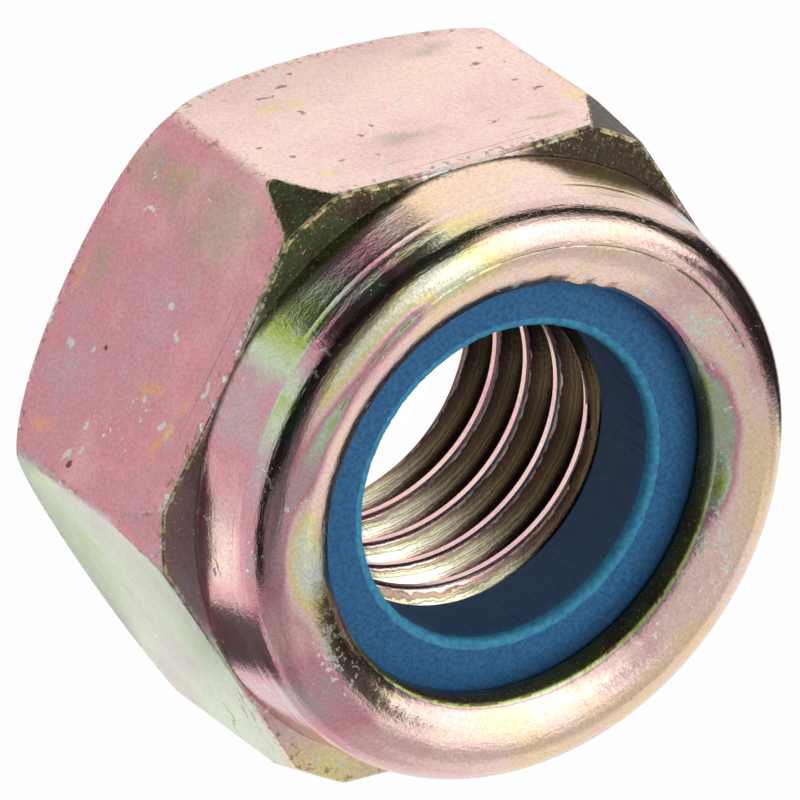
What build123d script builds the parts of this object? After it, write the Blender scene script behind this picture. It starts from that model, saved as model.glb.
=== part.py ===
"""Nylon insert lock nut, M10 x 1.5, tall pattern, 17 mm across the flats.

A cold-formed steel hexagon carries a turned collar. The collar's rim is rolled inwards over a nylon
ring, and the ring grips the bolt. The axis is +Z and the bearing face lies in the plane Z = 0.
"""

import os
from math import cos, radians, sin, tan

from build123d import *

os.makedirs("parts", exist_ok=True)

# Wrenching hexagon
across_flats = 17.0
nut_height = 11.2
corner_rounding = 0.45
corner_relief_angle = 77.0

# Bearing side: a straight chamfer that rolls over at the six corners
washer_face_inset = 0.6
bearing_chamfer_angle = 30.0
bearing_chamfer_width = 0.85
corner_foot_height = 1.55
countersink_allowance = 1.15
countersink_angle = 90.0

# Threaded bore, drawn plain at the minor diameter of the thread
minor_diameter = 8.376
thread_exit_chamfer = 0.3

# Turned collar, standing on a narrow ledge behind the hexagon
collar_height = 2.95
collar_inset = 0.06
collar_taper = 0.27
collar_wall = 1.45
ledge_width = 0.88
ledge_drop = 0.12
shoulder_radius = 1.05

# Rolled lip
lip_overlap = 0.98
lip_drop = 0.6
lip_thickness = 0.5
lip_edge_rounding = 0.2
lip_underside_slope = 28.0

# Nylon ring
ring_bore_allowance = 0.2
ring_thickness = 2.53
ring_rim_rounding = 0.28
ring_foot_rounding = 0.12
ring_clearance = 0.02

# Radii that follow from the sizes above
flat_radius = across_flats / 2
corner_radius = flat_radius / cos(radians(30))
washer_radius = flat_radius - washer_face_inset
chamfer_end_radius = washer_radius + bearing_chamfer_width
bore_radius = minor_diameter / 2
countersink_radius = bore_radius + countersink_allowance
collar_foot_radius = flat_radius - collar_inset
collar_top_radius = collar_foot_radius - collar_taper
ledge_radius = collar_foot_radius + ledge_width
crest_radius = collar_top_radius - shoulder_radius
pocket_radius = collar_top_radius - collar_wall
lip_radius = pocket_radius - lip_overlap
ring_outer_radius = pocket_radius - ring_clearance
ring_inner_radius = bore_radius + ring_bore_allowance

# Heights that follow, from the bearing face up
chamfer_end_height = bearing_chamfer_width * tan(radians(bearing_chamfer_angle))
collar_foot_height = nut_height - collar_height
ledge_height = collar_foot_height - ledge_drop
relief_foot_height = ledge_height - (corner_radius - ledge_radius) * tan(radians(corner_relief_angle))
shoulder_height = nut_height - shoulder_radius
lip_edge_height = nut_height - lip_drop
lip_foot_height = lip_edge_height - lip_thickness
lip_root_height = lip_foot_height - lip_overlap * tan(radians(lip_underside_slope))
ring_top = lip_foot_height - ring_clearance
ring_shoulder = lip_root_height - ring_clearance
ring_seat = ring_top - ring_thickness

# Steel body: a hexagonal bar trimmed by the turned outline, then bored and hollowed for the ring
with BuildPart() as nut_body:
    with BuildSketch() as hexagon:
        RegularPolygon(radius=corner_radius, side_count=6)
        fillet(hexagon.vertices(), radius=corner_rounding)
    extrude(amount=nut_height)

    with BuildSketch(Plane.XZ) as turned_outline:
        with BuildLine():
            Line((0, nut_height), (0, 0))
            Line((0, 0), (washer_radius, 0))
            Line((washer_radius, 0), (chamfer_end_radius, chamfer_end_height))
            TangentArc(
                (chamfer_end_radius, chamfer_end_height),
                (corner_radius, corner_foot_height),
                tangent=(cos(radians(bearing_chamfer_angle)), sin(radians(bearing_chamfer_angle))),
            )
            Polyline(
                (corner_radius, corner_foot_height),
                (corner_radius, relief_foot_height),
                (ledge_radius, ledge_height),
                (collar_foot_radius, collar_foot_height),
                (collar_top_radius, shoulder_height),
            )
            RadiusArc(
                (collar_top_radius, shoulder_height),
                (crest_radius, nut_height),
                -shoulder_radius,
            )
            Line((crest_radius, nut_height), (0, nut_height))
        make_face()
    revolve(axis=Axis.Z, mode=Mode.INTERSECT)

    # Pocket for the ring, with the slope that the rolled lip takes on its underside
    with BuildSketch(Plane.XZ) as pocket_outline:
        with BuildLine():
            Polyline(
                (0, ring_seat),
                (pocket_radius, ring_seat),
                (pocket_radius, lip_root_height),
                (lip_radius, lip_foot_height),
                (lip_radius, lip_edge_height),
                (crest_radius, nut_height),
                (0, nut_height),
                close=True,
            )
        make_face()
        lip_edge = pocket_outline.vertices().sort_by_distance((lip_radius, lip_edge_height))
        fillet(lip_edge[0], radius=lip_edge_rounding)
    revolve(axis=Axis.Z, mode=Mode.SUBTRACT)

    bearing_face = nut_body.faces().filter_by(Plane.XY).sort_by(Axis.Z)[0]
    with Locations(bearing_face):
        CounterSinkHole(
            radius=bore_radius,
            counter_sink_radius=countersink_radius,
            counter_sink_angle=countersink_angle,
        )
    seat_face = nut_body.faces().filter_by(Plane.XY).sort_by(Axis.Z)[-1]
    chamfer(seat_face.inner_wires().edges(), length=thread_exit_chamfer)

# Nylon ring: its bore is a little wider than the thread's minor diameter, and the lip holds its shoulder
with BuildPart() as nylon_insert:
    with BuildSketch(Plane.XZ) as ring_outline:
        with BuildLine():
            Polyline(
                (ring_inner_radius, ring_seat),
                (ring_outer_radius, ring_seat),
                (ring_outer_radius, ring_shoulder),
                (lip_radius, ring_top),
                (ring_inner_radius, ring_top),
                close=True,
            )
        make_face()
        foot_corner = ring_outline.vertices().group_by(Axis.X)[0].sort_by(Axis.Y)[0]
        fillet(foot_corner, radius=ring_foot_rounding)
        rim_corner = ring_outline.vertices().group_by(Axis.X)[0].sort_by(Axis.Y)[-1]
        fillet(rim_corner, radius=ring_rim_rounding)
    revolve(axis=Axis.Z)

nut_body.part.label = "nut_body"
nylon_insert.part.label = "nylon_insert"
export_step(nut_body.part, "parts/nut_body.step")
export_step(nylon_insert.part, "parts/nylon_insert.step")
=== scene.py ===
"""Looks of a nylon insert lock nut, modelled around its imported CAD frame.

The steel body is spun from its turned outline, pressed onto the hexagon and tapped with its thread.
The nylon ring is spun on its own. Both take procedural finishes. The stage holds the floor, the lamps
and the cards that the plated steel reflects. Outlines are drawn in millimetres and settled to metres.
"""

import logging
import math
from dataclasses import dataclass
from enum import Enum
from functools import partial

import bpy
import numpy as np
from mathutils import Matrix, Vector, noise


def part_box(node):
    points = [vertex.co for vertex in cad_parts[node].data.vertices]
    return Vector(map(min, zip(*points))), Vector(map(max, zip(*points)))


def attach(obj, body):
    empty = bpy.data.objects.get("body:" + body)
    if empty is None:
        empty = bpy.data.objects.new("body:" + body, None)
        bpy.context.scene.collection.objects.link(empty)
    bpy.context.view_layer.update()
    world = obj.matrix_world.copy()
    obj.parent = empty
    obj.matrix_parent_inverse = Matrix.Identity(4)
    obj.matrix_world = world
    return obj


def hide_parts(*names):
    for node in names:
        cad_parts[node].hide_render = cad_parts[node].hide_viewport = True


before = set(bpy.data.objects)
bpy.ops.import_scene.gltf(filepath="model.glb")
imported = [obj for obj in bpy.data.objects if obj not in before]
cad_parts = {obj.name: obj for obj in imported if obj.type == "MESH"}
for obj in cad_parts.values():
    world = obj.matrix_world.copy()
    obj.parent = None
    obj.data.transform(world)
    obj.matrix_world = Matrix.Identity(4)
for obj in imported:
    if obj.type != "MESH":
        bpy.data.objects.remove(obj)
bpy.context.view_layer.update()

MM = 0.001
SIDES = 6
SPOKES = 540
ARC_ROWS = 4
WELD_DISTANCE = 0.0005
FAR_FROM_EDGES = 3.0
PHOTO_WIDTH = 800

Stops = tuple[tuple[float, float], ...]
Shade = tuple[float, float, float]
Place = tuple[float, float, float]

log = logging.getLogger("lock_nut")


class Zone(Enum):
    """Stretches of the steel body that take their own film of passivation."""

    BEARING = 0
    CHAMFER = 1
    FLAT = 2
    RELIEF = 3
    LEDGE = 4
    WALL = 5
    SHOULDER = 6
    LIP = 7
    POCKET = 8


# Drawing helpers


def polar(radius: np.ndarray, angle: np.ndarray, height: np.ndarray) -> np.ndarray:
    """Turns cylindrical places into Cartesian ones.

    Args:
        radius: Distances from the nut's axis.
        angle: Angles round the axis, in radians.
        height: Heights above the bearing face.

    Returns:
        An array with a last axis of x, y and z.
    """
    return np.stack([radius * np.cos(angle), radius * np.sin(angle), height], axis=-1)


def draw_outline(name: str, points: list[tuple[float, float]], closed: bool = False) -> bpy.types.Object:
    """Draws an outline in the XZ plane by extruding one vertex from point to point.

    Args:
        name: Name of the new object.
        points: Radius and height of each point, in millimetres.
        closed: Whether the last point joins the first.

    Returns:
        The new mesh object, left in edit mode with all of it selected.
    """
    bpy.ops.object.select_all(action="DESELECT")
    bpy.ops.mesh.primitive_plane_add(size=1)
    outline = bpy.context.object
    outline.name = name
    bpy.ops.object.mode_set(mode="EDIT")
    bpy.ops.mesh.select_all(action="SELECT")
    bpy.ops.mesh.merge(type="CENTER")
    bpy.ops.transform.translate(value=(points[0][0], 0, points[0][1]))
    for start, end in zip(points, points[1:]):
        step = (end[0] - start[0], 0, end[1] - start[1])
        bpy.ops.mesh.extrude_region_move(TRANSFORM_OT_translate={"value": step})
    bpy.ops.mesh.select_all(action="SELECT")
    if closed:
        bpy.ops.mesh.edge_face_add()
        bpy.ops.mesh.delete(type="ONLY_FACE")
        bpy.ops.mesh.select_all(action="SELECT")
    return outline


def weld() -> None:
    """Merges what coincides in the mesh in edit mode, turns its faces outwards and leaves edit mode."""
    bpy.ops.mesh.select_all(action="SELECT")
    bpy.ops.mesh.remove_doubles(threshold=WELD_DISTANCE)
    bpy.ops.mesh.delete_loose()
    bpy.ops.mesh.select_all(action="SELECT")
    bpy.ops.mesh.normals_make_consistent(inside=False)
    bpy.ops.object.mode_set(mode="OBJECT")


def spin_outline(
    outline: bpy.types.Object, steps: int = SPOKES, angle: float = 360, **settings: float
) -> None:
    """Turns an outline round the nut's axis into a surface, counterclockwise, and leaves edit mode.

    Args:
        outline: The object that draw_outline has left in edit mode.
        steps: Number of steps of the turn.
        angle: Angle of the turn in degrees.
        **settings: Further settings of the turn, such as its rise.
    """
    bpy.ops.object.mode_set(mode="OBJECT")
    turn = outline.modifiers.new("turn", "SCREW")
    turn.angle = math.radians(angle)
    turn.steps = steps
    turn.render_steps = steps
    turn.use_merge_vertices = True
    turn.merge_threshold = WELD_DISTANCE
    for name, value in settings.items():
        setattr(turn, name, value)
    bpy.ops.object.modifier_apply(modifier=turn.name)
    bpy.ops.object.mode_set(mode="EDIT")
    weld()


def spin_blank(name: str, blank: np.ndarray) -> tuple[bpy.types.Object, np.ndarray, np.ndarray]:
    """Spins a round blank and finds where its vertices come from.

    Args:
        name: Name of the new object.
        blank: Radius and height of each row of the outline.

    Returns:
        The blank, the outline's row of each vertex, and the spoke of each vertex.
    """
    piece = draw_outline(name, [tuple(place) for place in blank])
    spin_outline(piece)
    places = vertex_places(piece)
    radius = np.hypot(places[:, 0], places[:, 1])
    apart = (radius[:, None] - blank[None, :, 0]) ** 2 + (places[:, 2, None] - blank[None, :, 1]) ** 2
    turn = np.arctan2(places[:, 1], places[:, 0])
    spoke = np.round(turn / (2 * math.pi / SPOKES)).astype(int) % SPOKES
    return piece, apart.argmin(axis=1), spoke


def vertex_places(piece: bpy.types.Object) -> np.ndarray:
    """Reads the places of a piece's vertices as rows of x, y and z."""
    places = np.empty(len(piece.data.vertices) * 3, np.float32)
    piece.data.vertices.foreach_get("co", places)
    return places.reshape(-1, 3).astype(float)


def move_vertices(piece: bpy.types.Object, places: np.ndarray) -> None:
    """Writes new places of a piece's vertices."""
    piece.data.vertices.foreach_set("co", places.astype(np.float32).ravel())
    piece.data.update()


def paint(piece: bpy.types.Object, finish: dict[str, float | np.ndarray]) -> None:
    """Stores numbers for each vertex, which a material reads by their names.

    Args:
        piece: The mesh object.
        finish: One number for each vertex, or one for all of them, by the attribute's name.
    """
    for name, values in finish.items():
        attribute = piece.data.attributes.new(name, "FLOAT", "POINT")
        attribute.data.foreach_set("value", np.full(len(piece.data.vertices), values, np.float32))


def settle(piece: bpy.types.Object) -> None:
    """Brings a piece from its drawing in millimetres to metres, in place."""
    piece.data.transform(Matrix.Scale(MM, 4))
    piece.data.update()


def smooth_step(value: np.ndarray, low: float, high: float) -> np.ndarray:
    """Rises smoothly from 0 at low to 1 at high."""
    share = np.clip((value - low) / (high - low), 0, 1)
    return share * share * (3 - 2 * share)


def round_trip(turn: np.ndarray, stops: Stops) -> np.ndarray:
    """Reads values chosen at a few angles, joined all the way round the axis.

    Args:
        turn: Angles in degrees.
        stops: Angle and value of each stop, in rising order.

    Returns:
        One value for each angle.
    """
    return np.interp(turn, [stop[0] for stop in stops], [stop[1] for stop in stops], period=360)


def ripple(angle: np.ndarray, scale: float, seed: float) -> np.ndarray:
    """Gives an even noise that closes on itself round the axis.

    Args:
        angle: Angles round the axis, in radians.
        scale: Number of bumps on one radian, about.
        seed: Place of the noise, which differs for each use.

    Returns:
        Values from about -1 to 1, one for each angle.
    """
    return np.array([noise.noise(Vector((math.cos(a) * scale, math.sin(a) * scale, seed))) for a in angle])


def turn_from(centre: float, angle: np.ndarray) -> np.ndarray:
    """Gives how far each angle is turned from a centre, either way round the axis.

    Args:
        centre: Angle of the centre in degrees.
        angle: Angles round the axis, in radians.

    Returns:
        Turns from -pi to pi, one for each angle.
    """
    return np.angle(np.exp(1j * (angle - math.radians(centre))))


# Outline of the body on one spoke


@dataclass
class Corner:
    """One corner of the outline, on every spoke at once, with the rows laid after it.

    Attributes:
        place: Radius and height on each spoke.
        zone: Zone of the rows from this corner on, for a piece that is painted by zones.
        rounding: Distance from the corner at which its rounding starts.
        rows: Number of straight rows between this corner and the next.
        edge: Whether handling wears this corner.
    """

    place: np.ndarray
    zone: Zone = Zone.POCKET
    rounding: float = 0.0
    rows: int = 0
    edge: bool = False


@dataclass
class Section:
    """The outline's rows on every spoke.

    Attributes:
        places: Radius and height, by spoke and row.
        zones: Zone of each row.
        gaps: Distance along the outline to the nearest worn edge, by spoke and row.
    """

    places: np.ndarray
    zones: list[Zone]
    gaps: np.ndarray


def on_spokes(spokes: int, radius: float | np.ndarray, height: float | np.ndarray) -> np.ndarray:
    """Repeats one place on every spoke.

    Args:
        spokes: Number of spokes.
        radius: Radius of the place, or its radius on each spoke.
        height: Height of the place, or its height on each spoke.

    Returns:
        Radius and height on each spoke.
    """
    return np.stack([np.broadcast_to(radius, spokes), np.broadcast_to(height, spokes)], axis=1)


def lay_section(corners: list[Corner]) -> Section:
    """Lays the rows of an outline round its corners.

    Args:
        corners: The outline's corners in order.

    Returns:
        The rows, with their zones and their distances from the worn edges.
    """
    count = len(corners)
    entries, exits = [], []
    for index, corner in enumerate(corners):
        here = corner.place
        before = corners[max(index - 1, 0)].place
        after = corners[min(index + 1, count - 1)].place
        way_in = np.linalg.norm(before - here, axis=1, keepdims=True) + 1e-9
        way_out = np.linalg.norm(after - here, axis=1, keepdims=True) + 1e-9
        size = np.minimum(corner.rounding, 0.42 * np.minimum(way_in, way_out))
        entries.append(here + (before - here) / way_in * size)
        exits.append(here + (after - here) / way_out * size)
    rows, zones, worn = [], [], []
    for index, corner in enumerate(corners):
        if corner.rounding:
            for step in range(ARC_ROWS + 1):
                share = step / ARC_ROWS
                bend = (1 - share) ** 2 * entries[index] + 2 * share * (1 - share) * corner.place
                rows.append(bend + share**2 * exits[index])
                zones.append(corners[max(index - 1, 0)].zone if step == 0 else corner.zone)
                worn.append(corner.edge)
        else:
            rows.append(corner.place)
            zones.append(corner.zone)
            worn.append(corner.edge)
        if index + 1 < count:
            for step in range(1, corner.rows + 1):
                share = step / (corner.rows + 1)
                rows.append((1 - share) * exits[index] + share * entries[index + 1])
                zones.append(corner.zone)
                worn.append(False)
    places = np.stack(rows, axis=1)
    steps = np.linalg.norm(np.diff(places, axis=1), axis=2)
    along = np.concatenate([np.zeros((len(places), 1)), np.cumsum(steps, axis=1)], axis=1)
    edges = along[:, np.array(worn)]
    gaps = np.abs(along[:, :, None] - edges[:, None, :]).min(axis=2)
    return Section(places, zones, gaps)


@dataclass(frozen=True)
class NutSizes:
    """Sizes of the nut in millimetres. The first two are read from the frame."""

    flat_radius: float
    height: float
    corner_rounding: float = 0.45
    washer_inset: float = 0.6
    chamfer_width: float = 0.85
    chamfer_angle: float = 30
    corner_foot: float = 1.55
    relief_angle: float = 77
    collar_height: float = 2.95
    collar_inset: float = 0.06
    collar_taper: float = 0.27
    collar_wall: float = 1.45
    ledge_width: float = 0.88
    ledge_drop: float = 0.12
    shoulder: float = 1.05
    lip_overlap: float = 0.98
    lip_drop: float = 0.6
    lip_thickness: float = 0.5
    lip_slope: float = 28
    minor_radius: float = 4.188
    pitch: float = 1.5
    countersink: float = 1.15
    thread_exit: float = 0.3
    ring_thickness: float = 2.53
    ring_allowance: float = 0.2
    ring_clearance: float = 0.02
    sleeve_radius: float = 5.6

    @property
    def corner_radius(self) -> float:
        """Radius of the hexagon's sharp corner."""
        return self.flat_radius / math.cos(math.pi / SIDES)

    @property
    def washer_radius(self) -> float:
        """Outer radius of the bearing face."""
        return self.flat_radius - self.washer_inset

    @property
    def foot(self) -> tuple[float, float]:
        """Radius and height of the collar's foot."""
        return self.flat_radius - self.collar_inset, self.height - self.collar_height

    @property
    def wall_top(self) -> tuple[float, float]:
        """Radius and height at which the collar's wall meets its shoulder."""
        return self.foot[0] - self.collar_taper, self.height - self.shoulder

    @property
    def crest(self) -> float:
        """Radius of the collar's highest circle."""
        return self.wall_top[0] - self.shoulder

    @property
    def pocket_radius(self) -> float:
        """Radius of the ring's pocket."""
        return self.wall_top[0] - self.collar_wall

    @property
    def lip_radius(self) -> float:
        """Radius of the rolled lip's inner edge."""
        return self.pocket_radius - self.lip_overlap

    @property
    def lip_edge(self) -> float:
        """Height of the rolled lip's inner edge."""
        return self.height - self.lip_drop

    @property
    def lip_foot(self) -> float:
        """Height of the underside of the lip at its inner edge."""
        return self.lip_edge - self.lip_thickness

    @property
    def lip_root(self) -> float:
        """Height of the underside of the lip at the pocket's wall."""
        return self.lip_foot - self.lip_overlap * math.tan(math.radians(self.lip_slope))

    @property
    def seat(self) -> float:
        """Height of the pocket's floor."""
        return self.lip_foot - self.ring_clearance - self.ring_thickness

    @property
    def thread_depth(self) -> float:
        """Depth of the thread's groove, by the standard's share of the pitch."""
        return 0.5413 * self.pitch


# Steel body


@dataclass(frozen=True)
class Patch:
    """A soft patch of its own film on the collar. Some patches are real tint and wear; others are painted
    highlights.

    Attributes:
        turn: Direction round the axis, in degrees.
        radius: Distance from the axis.
        height: Height above the bearing face.
        spread: Half width round the axis, in degrees.
        breadth: Half width across.
        film: Film in the middle of the patch.
        fade: Distances from the middle, in half widths, over which the patch fades.
    """

    turn: float
    radius: float
    height: float
    spread: float
    breadth: float
    film: float
    fade: tuple[float, float] = (0.35, 1.25)

    def lay(self, places: np.ndarray, film: np.ndarray) -> np.ndarray:
        """Lays the patch over the film at each place.

        Args:
            places: Places in millimetres, one in each row.
            film: Film at each place.

        Returns:
            The film with the patch.
        """
        angle = np.arctan2(places[:, 1], places[:, 0])
        off = np.degrees(turn_from(self.turn, angle)) / self.spread
        radius = np.hypot(places[:, 0], places[:, 1])
        across = (radius - self.radius) ** 2 + (places[:, 2] - self.height) ** 2
        share = 1 - smooth_step(np.sqrt(off**2 + across / self.breadth**2), *self.fade)
        return film * (1 - share) + self.film * share


@dataclass
class Skin:
    """Where each vertex of the body lies.

    Attributes:
        places: Places in millimetres, one in each row.
        zones: Zone of each vertex.
        angle: Angle of each vertex round the axis, in radians.
        radius: Distance of each vertex from the axis.
        turn: Angle of each vertex round the axis, in degrees from 0 to 360.
        beside: Distance of each vertex from the nearest edge between two flats.
    """

    places: np.ndarray
    zones: np.ndarray
    angle: np.ndarray

    def __post_init__(self) -> None:
        """Works out what follows from the places and the angles."""
        self.radius = np.hypot(self.places[:, 0], self.places[:, 1])
        self.turn = np.degrees(np.mod(self.angle, 2 * math.pi))
        off_corner = math.pi / SIDES - np.abs(np.mod(self.angle, math.pi / 3) - math.pi / SIDES)
        self.beside = self.radius * np.sin(off_corner)

    def on(self, *zones: Zone) -> np.ndarray:
        """Tells of each vertex whether it lies in one of the zones."""
        return np.any([self.zones == zone for zone in zones], axis=0)


@dataclass
class NutBody:
    """The steel body: a turned blank, pressed to a hexagon, rolled over the ring and tapped.

    Attributes:
        sizes: Sizes of the nut.
        arris: Rounding of the hexagon's edges.
        lip_rounding: Distance over which the rolled lip's edge is rounded.
        lip_bulge: How far the lip's top stands above a straight cone.
        corner_gather: How much denser the spokes stand at the hexagon's corners.
        wobble: Unevenness of the rolled lip.
        burr_angle: Place of the small burr on the lip's edge, in degrees round the axis.
        crease_angle: Middle of the stretch on which the lip's outer crease is deep, in degrees.
        crease_reach: Half of the stretch on which the crease is dark, in degrees.
        crease_inset: Distance of the crease from the collar's highest circle.
        curl: Distances from that circle over which the lip's top turns into its inner edge.
        film: Film of passivation of each flat, from 0 for pale silver to 1 for brown. The flats' films
            differ partly as painted reflection and shade, for the differing light that each flat mirrors.
        wall_film_and_reflection: Film of the collar's wall, at chosen degrees round the axis; its green
            stretch near 15 degrees is a painted reflection of the ledge.
        shoulder_film_and_highlight: Film of the collar's shoulder; its pale stretch from 345 to 352 degrees
            is a painted highlight.
        lip_film: Film of the lip.
        ledge_film: Film of the ledge and of the corners' reliefs.
        crease_shade_film: Film of the unbroken stretches of the crease, painted dark as the crease's shade.
        fringe_shade_film: Film of the thin olive fringe where the lip's top turns into the inner edge's
            painted shade.
        chips: Cover of zinc chips on the lip.
        inner_film_and_shade: Film of the lip's inner edge, whose dark stretch from about 95 to 250 degrees
            is painted shade and dark reflection beside the ring.
        patches_and_highlights: Patches on the collar, some of them real tint and wear and some painted
            highlights.
        ledge_crust: Share of dark crust on the ledge.
        relief_crust: Share of dark crust on the corners' reliefs.
        inner_edge_shade: Share of dark scale colour painted as shade on the lip's inner edge.
        crust_climb: Height to which the crust climbs the collar's wall.
    """

    sizes: NutSizes
    arris: float = 0.07
    lip_rounding: float = 0.27
    lip_bulge: float = 0.125
    corner_gather: float = 0.7
    wobble: float = 0.035
    burr_angle: float = 312
    crease_angle: float = -38
    crease_reach: float = 62
    crease_inset: float = 0.045
    curl: tuple[float, float] = (1.11, 1.13)
    crease_shade_film: float = 0.93
    fringe_shade_film: float = 0.79
    # Partly painted reflection and shade: the flats' films differ partly for the light that each flat
    # mirrors.
    film: tuple[float, ...] = (0.55, 0.71, 0.42, 0.50, 0.64, 0.40)
    # Painted reflection: the green stops near 15 degrees stand for the ledge mirrored in the wall.
    wall_film_and_reflection: Stops = (
        (0, 0.60), (12, 0.78), (18, 0.77), (29, 0.57), (45, 0.52), (60, 0.42), (74, 0.52), (90, 0.56),
        (110, 0.50), (180, 0.40), (285, 0.73), (300, 0.27), (315, 0.39), (330, 0.32), (345, 0.31),
    )
    # Painted highlight: the pale stops at 345 and 352 degrees.
    shoulder_film_and_highlight: Stops = (
        (0, 0.74), (15, 0.52), (28, 0.77), (40, 0.60), (60, 0.56), (75, 0.50), (90, 0.64), (105, 0.50),
        (120, 0.42), (135, 0.40), (150, 0.30), (165, 0.34), (180, 0.27), (210, 0.34), (225, 0.27),
        (240, 0.30), (255, 0.50), (300, 0.36), (330, 0.37), (345, 0.10), (352, 0.10),
    )
    lip_film: Stops = (
        (0, 0.31), (15, 0.44), (30, 0.34), (45, 0.36), (55, 0.22), (60, 0.03), (66, 0.03), (72, 0.20),
        (90, 0.36), (105, 0.33), (120, 0.38), (138, 0.31), (155, 0.37), (195, 0.41), (215, 0.36),
        (240, 0.30), (268, 0.33), (285, 0.40), (345, 0.33),
    )
    ledge_film: Stops = (
        (0, 0.85), (30, 0.50), (60, 0.54), (90, 0.66), (120, 0.22), (150, 0.30), (270, 0.40),
        (300, 0.60), (330, 0.39),
    )
    chips: Stops = (
        (0, 0.55), (30, 0.35), (58, 1.0), (80, 0.95), (105, 0.65), (140, 0.35), (170, 0.75),
        (195, 0.85), (212, 1.05), (225, 0.6), (255, 0.95), (285, 0.95), (315, 0.8),
    )
    inner_film_and_shade: Stops = (
        (0, 0.34), (30, 0.30), (60, 0.24), (80, 0.60), (95, 0.90), (150, 0.93), (195, 0.99),
        (220, 0.93), (250, 0.90), (268, 0.62), (290, 0.42), (330, 0.32),
    )
    patches_and_highlights: tuple[Patch, ...] = (
        Patch(58, 6.95, 11.15, 15, 0.5, 0.02),
        Patch(242, 6.1, 10.75, 26, 0.62, 0.74),
        Patch(228, 6.2, 10.8, 9, 0.3, 0.80),
        # Painted highlight on the wall.
        Patch(60, 8.3, 9.3, 9, 0.8, 0.36),
        Patch(301, 8.3, 9.2, 8, 0.45, 0.16),
        # Painted highlights on the shoulder.
        Patch(330, 7.6, 10.95, 20, 0.35, 0.36),
        Patch(6, 7.6, 11.0, 30, 0.42, 0.09),
    )
    ledge_crust: Stops = (
        (0, 1.0), (60, 0.8), (120, 0.0), (180, 0.6), (240, 1.0), (300, 1.0),
    )
    relief_crust: Stops = (
        (0, 1.0), (60, 0.1), (120, 0.0), (180, 0.6), (240, 1.0), (300, 1.0),
    )
    inner_edge_shade: Stops = (
        (0, 0.0), (72, 0.0), (98, 0.75), (150, 0.8), (250, 0.8), (268, 0.2), (290, 0.0),
    )
    crust_climb: Stops = (
        (0, 0.75), (14, 0.5), (24, 0.05), (45, 0.05), (60, 0.15), (75, 0.05), (280, 0.1), (300, 0.2),
        (318, 0.05), (340, 0.15), (350, 0.5),
    )

    def build(self) -> bpy.types.Object:
        """Models the whole body.

        Returns:
            The finished mesh object, in metres.
        """
        body = self.press()
        sleeve = self.tap_sleeve()
        body = self.join_sleeve(body, sleeve)
        bpy.ops.object.shade_smooth_by_angle(angle=math.radians(38))
        level = body.modifiers.new("level_flats", "WEIGHTED_NORMAL")
        level.keep_sharp = True
        bpy.ops.object.modifier_apply(modifier=level.name)
        settle(body)
        return body

    def reach(self, angle: np.ndarray) -> np.ndarray:
        """Gives the radius of the rounded hexagon at each angle.

        Args:
            angle: Angles round the axis in radians, with a corner at 0.

        Returns:
            The radius at each angle.
        """
        sizes = self.sizes
        half = math.pi / SIDES
        off_flat = np.abs(np.mod(angle, 2 * half) - half)
        flat = sizes.flat_radius / np.cos(off_flat)
        centre = (sizes.flat_radius - sizes.corner_rounding) / math.cos(half)
        off_corner = half - off_flat
        side = centre * np.sin(off_corner)
        round_edge = centre * np.cos(off_corner) + np.sqrt(np.maximum(sizes.corner_rounding**2 - side**2, 0))
        tangent = math.atan2(centre * math.sin(half), sizes.flat_radius)
        return np.where(off_flat > tangent, round_edge, flat)

    def chamfer_curve(self, reach: np.ndarray, rows: int) -> list[np.ndarray]:
        """Places rows on the bearing chamfer, from the washer face out to the hexagon.

        Args:
            reach: Radius of the hexagon on each spoke.
            rows: Number of rows.

        Returns:
            Radius and height on each spoke, for each row.
        """
        sizes = self.sizes
        slope = math.radians(sizes.chamfer_angle)
        start = Vector((sizes.washer_radius, 0))
        bend = start + Vector((1, math.tan(slope))) * sizes.chamfer_width
        chord = Vector((sizes.corner_radius, sizes.corner_foot)) - bend
        turn = math.atan2(chord.y, chord.x) - slope
        radius = chord.length / 2 / math.sin(turn)
        centre = bend + Vector((-math.sin(slope), math.cos(slope))) * radius
        curve = []
        for row in range(1, rows + 1):
            out = sizes.washer_radius + (reach - sizes.washer_radius) * row / rows
            rolled = centre.y - np.sqrt(np.maximum(radius**2 - (out - centre.x) ** 2, 0))
            straight = (out - start.x) * math.tan(slope)
            curve.append(np.stack([out, np.where(out > bend.x, rolled, straight)], axis=1))
        return curve

    def section(self, angle: np.ndarray) -> Section:
        """Lays the body's outline on every spoke, from the sleeve's foot round to the pocket's floor.

        Args:
            angle: Angle of each spoke in radians.

        Returns:
            The outline's rows.
        """
        sizes = self.sizes
        reach = self.reach(angle)
        spot = partial(on_spokes, len(angle))
        foot_r, foot_z = sizes.foot
        ledge_r = foot_r + sizes.ledge_width
        ledge_z = foot_z - sizes.ledge_drop
        shelf = np.minimum(ledge_r, reach - 0.03)
        shelf_z = ledge_z + (ledge_r - shelf) * sizes.ledge_drop / sizes.ledge_width
        relief_z = shelf_z - (reach - shelf) * math.tan(math.radians(sizes.relief_angle))
        chamfer = self.chamfer_curve(reach, 9)
        hexagon = [
            Corner(spot(sizes.sleeve_radius, 0), Zone.BEARING, rows=3),
            Corner(spot(sizes.washer_radius, 0), Zone.BEARING, rounding=0.06),
            *[Corner(row, Zone.CHAMFER) for row in chamfer[:-1]],
            Corner(chamfer[-1], Zone.FLAT, rounding=self.arris, rows=22, edge=True),
            Corner(spot(reach, relief_z), Zone.RELIEF, rounding=self.arris * 0.8, rows=6, edge=True),
            Corner(spot(shelf, shelf_z), Zone.LEDGE, rounding=0.06, rows=5, edge=True),
        ]
        pocket = [
            Corner(spot(sizes.pocket_radius, sizes.lip_root + 0.02), Zone.POCKET, rows=1),
            Corner(spot(sizes.pocket_radius, sizes.seat), Zone.POCKET, rows=1),
            Corner(spot(sizes.sleeve_radius, sizes.seat), Zone.POCKET),
        ]
        return lay_section(hexagon + self.collar_corners(spot) + self.lip_corners(angle) + pocket)

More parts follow.
